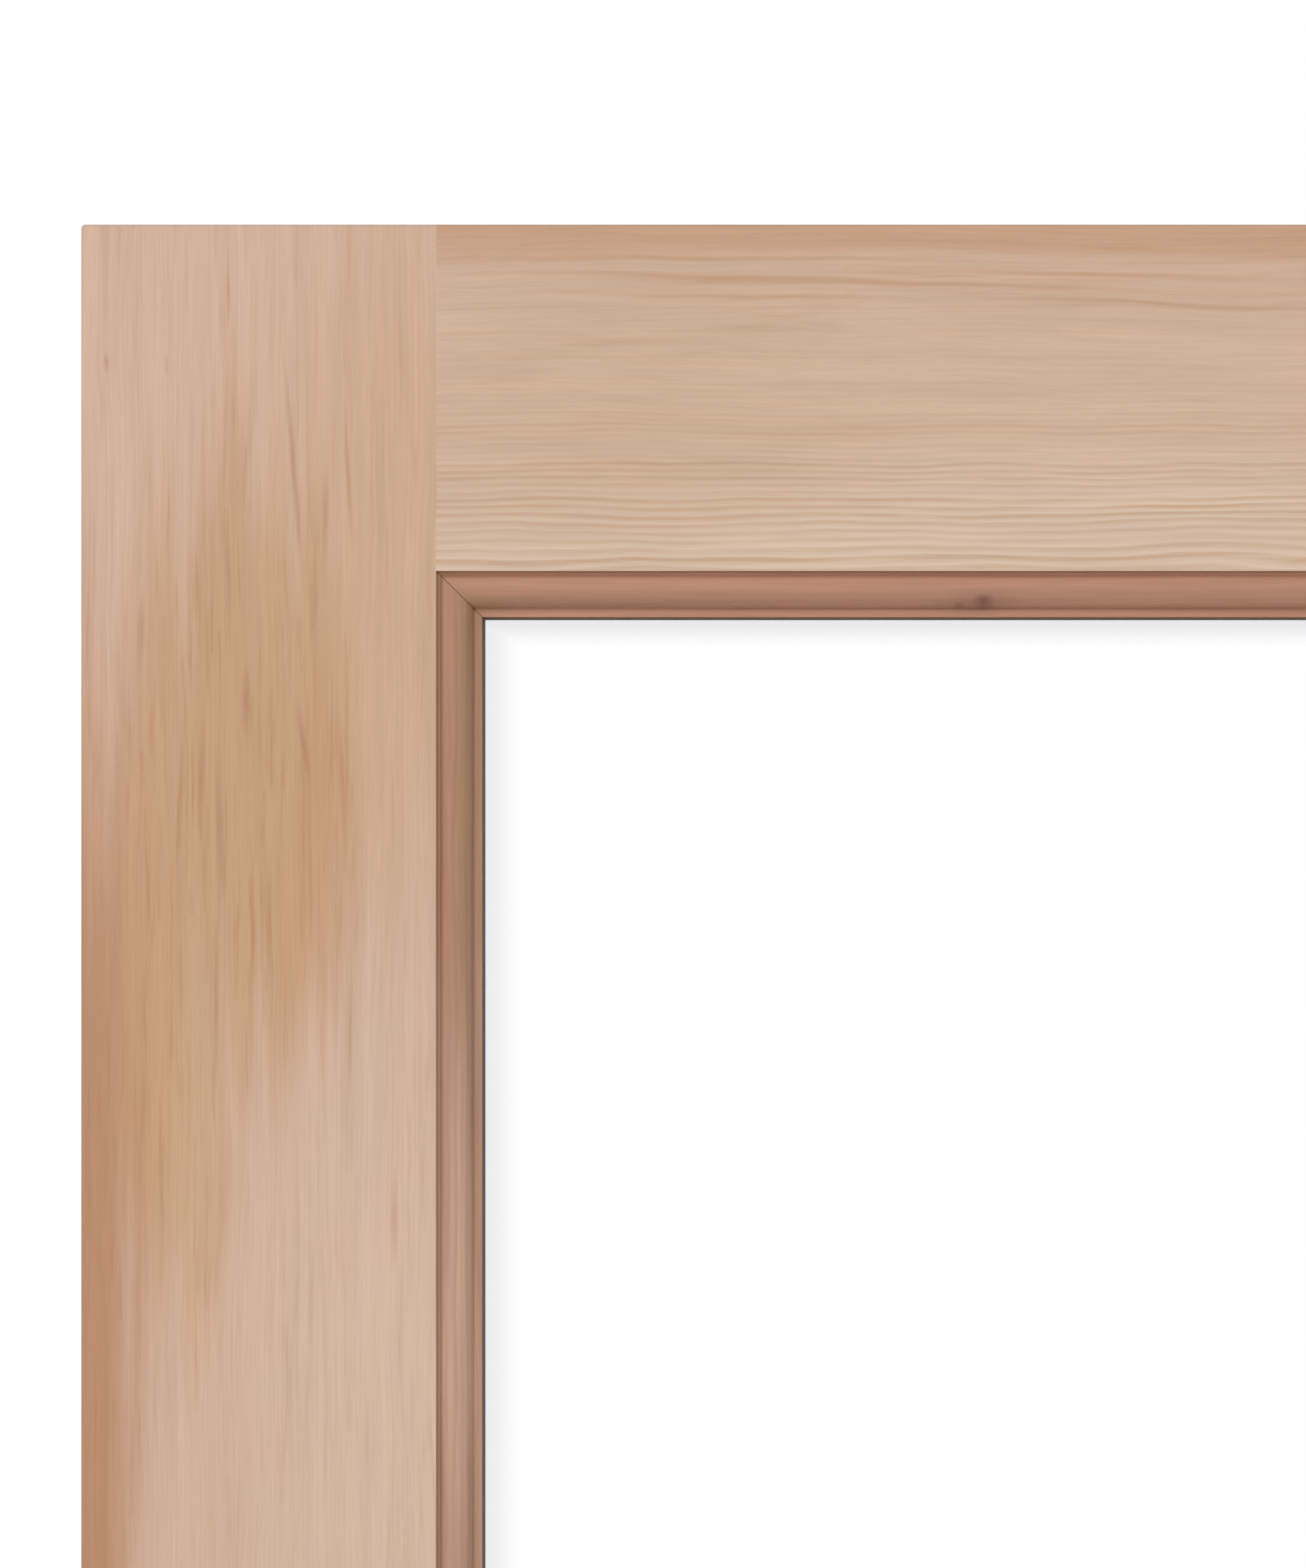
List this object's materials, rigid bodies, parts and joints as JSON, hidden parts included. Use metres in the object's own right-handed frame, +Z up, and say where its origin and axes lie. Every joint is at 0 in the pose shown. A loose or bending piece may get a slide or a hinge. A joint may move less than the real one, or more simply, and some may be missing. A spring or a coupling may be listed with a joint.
{
  "type": "prehung sauna door",
  "caption": "Glazed stile and rail sauna door hung on butt hinges in its own wooden frame, standing open, with a sprung roller catch and bow pulls.",
  "frame": {"origin": "middle of the sill's underside, in the middle of the frame's depth", "axes": "+Z up; Y across the doorway, with the hinges at -Y; X through the wall, with the outside (the side the leaf opens to) at -X. The leaf stands open a quarter turn at rest, so its outside face, the pictured one, looks along -Y."},
  "size_m": [0.7383, 0.6816, 2.0765],
  "materials": {
    "stile_wood": "planed and sanded, unfinished softwood",
    "rail_wood": "planed and sanded, unfinished softwood",
    "bead_wood": "moulded, unfinished redder softwood",
    "jamb_wood": "planed, unfinished softwood",
    "stop_wood": "planed, unfinished softwood",
    "sill_wood": "planed hardwood, oiled",
    "pull_wood": "sanded, unfinished softwood",
    "dowel_wood": "turned hardwood",
    "clear_glass": "clear tempered glass",
    "spacer_bar": "mill finish",
    "black_sealant": "matt",
    "glazing_tape": "matt dark bronze foam",
    "block_rubber": "matt",
    "hinge_steel": "satin",
    "screw_steel": "plain",
    "insert_brass": "plain",
    "catch_steel": "satin",
    "spring_steel": "plain",
    "roller_plastic": "smooth"
  },
  "bodies": {
    "frame": {"hinge_jamb": "jamb_wood", "strike_jamb": "jamb_wood", "head_jamb": "jamb_wood", "sill": "sill_wood", "hinge_side_stop": "stop_wood", "strike_side_stop": "stop_wood", "head_stop": "stop_wood", "stop_nails": "screw_steel", "frame_screws": "screw_steel", "strike_plate": "catch_steel", "strike_screws": "screw_steel", "hinge_jamb_screws": "screw_steel", "upper_hinge_jamb_plate": "hinge_steel", "upper_hinge_pin": "hinge_steel", "middle_hinge_jamb_plate": "hinge_steel", "middle_hinge_pin": "hinge_steel", "lower_hinge_jamb_plate": "hinge_steel", "lower_hinge_pin": "hinge_steel"},
    "leaf": {"hinge_stile": "stile_wood", "lock_stile": "stile_wood", "top_rail": "rail_wood", "bottom_rail": "rail_wood", "rail_dowels": "dowel_wood", "bead_pins": "screw_steel", "outer_pull": "pull_wood", "inner_pull": "pull_wood", "pull_rods": "screw_steel", "pull_inserts": "insert_brass", "catch_case": "catch_steel", "catch_screws": "screw_steel", "catch_spring": "spring_steel", "outer_glazing_tape": "glazing_tape", "inner_glazing_tape": "glazing_tape", "outer_pane": "clear_glass", "inner_pane": "clear_glass", "pane_edge_seal": "black_sealant", "pane_spacer": "spacer_bar", "setting_blocks": "block_rubber", "top_bead": "bead_wood", "bottom_bead": "bead_wood", "hinge_side_bead": "bead_wood", "lock_side_bead": "bead_wood", "hinge_leaf_screws": "screw_steel", "upper_hinge_leaf_plate": "hinge_steel", "middle_hinge_leaf_plate": "hinge_steel", "lower_hinge_leaf_plate": "hinge_steel"},
    "catch_plunger": {"catch_plunger": "catch_steel", "catch_roller_pin": "catch_steel"},
    "catch_roller": {"catch_roller": "roller_plastic"}
  },
  "joints": [
    {"name": "leaf_swing", "type": "hinge", "parent": "frame", "child": "leaf", "pos_m": [-0.064, -0.3063, 1], "axis": [0, 0, 1], "range_deg": [-90, 80]},
    {"name": "catch_press", "type": "slide", "parent": "leaf", "child": "catch_plunger", "axis": [-1, 0, 0], "range_m": [-0.005, 0], "stiffness_N_per_m": 1000, "springref_m": 0.006, "deforming": ["catch_spring"]},
    {"name": "roller_spin", "type": "hinge", "parent": "catch_plunger", "child": "catch_roller", "pos_m": [-0.6743, -0.27808, 0.95], "axis": [0, 0, 1], "continuous": true}
  ]
}
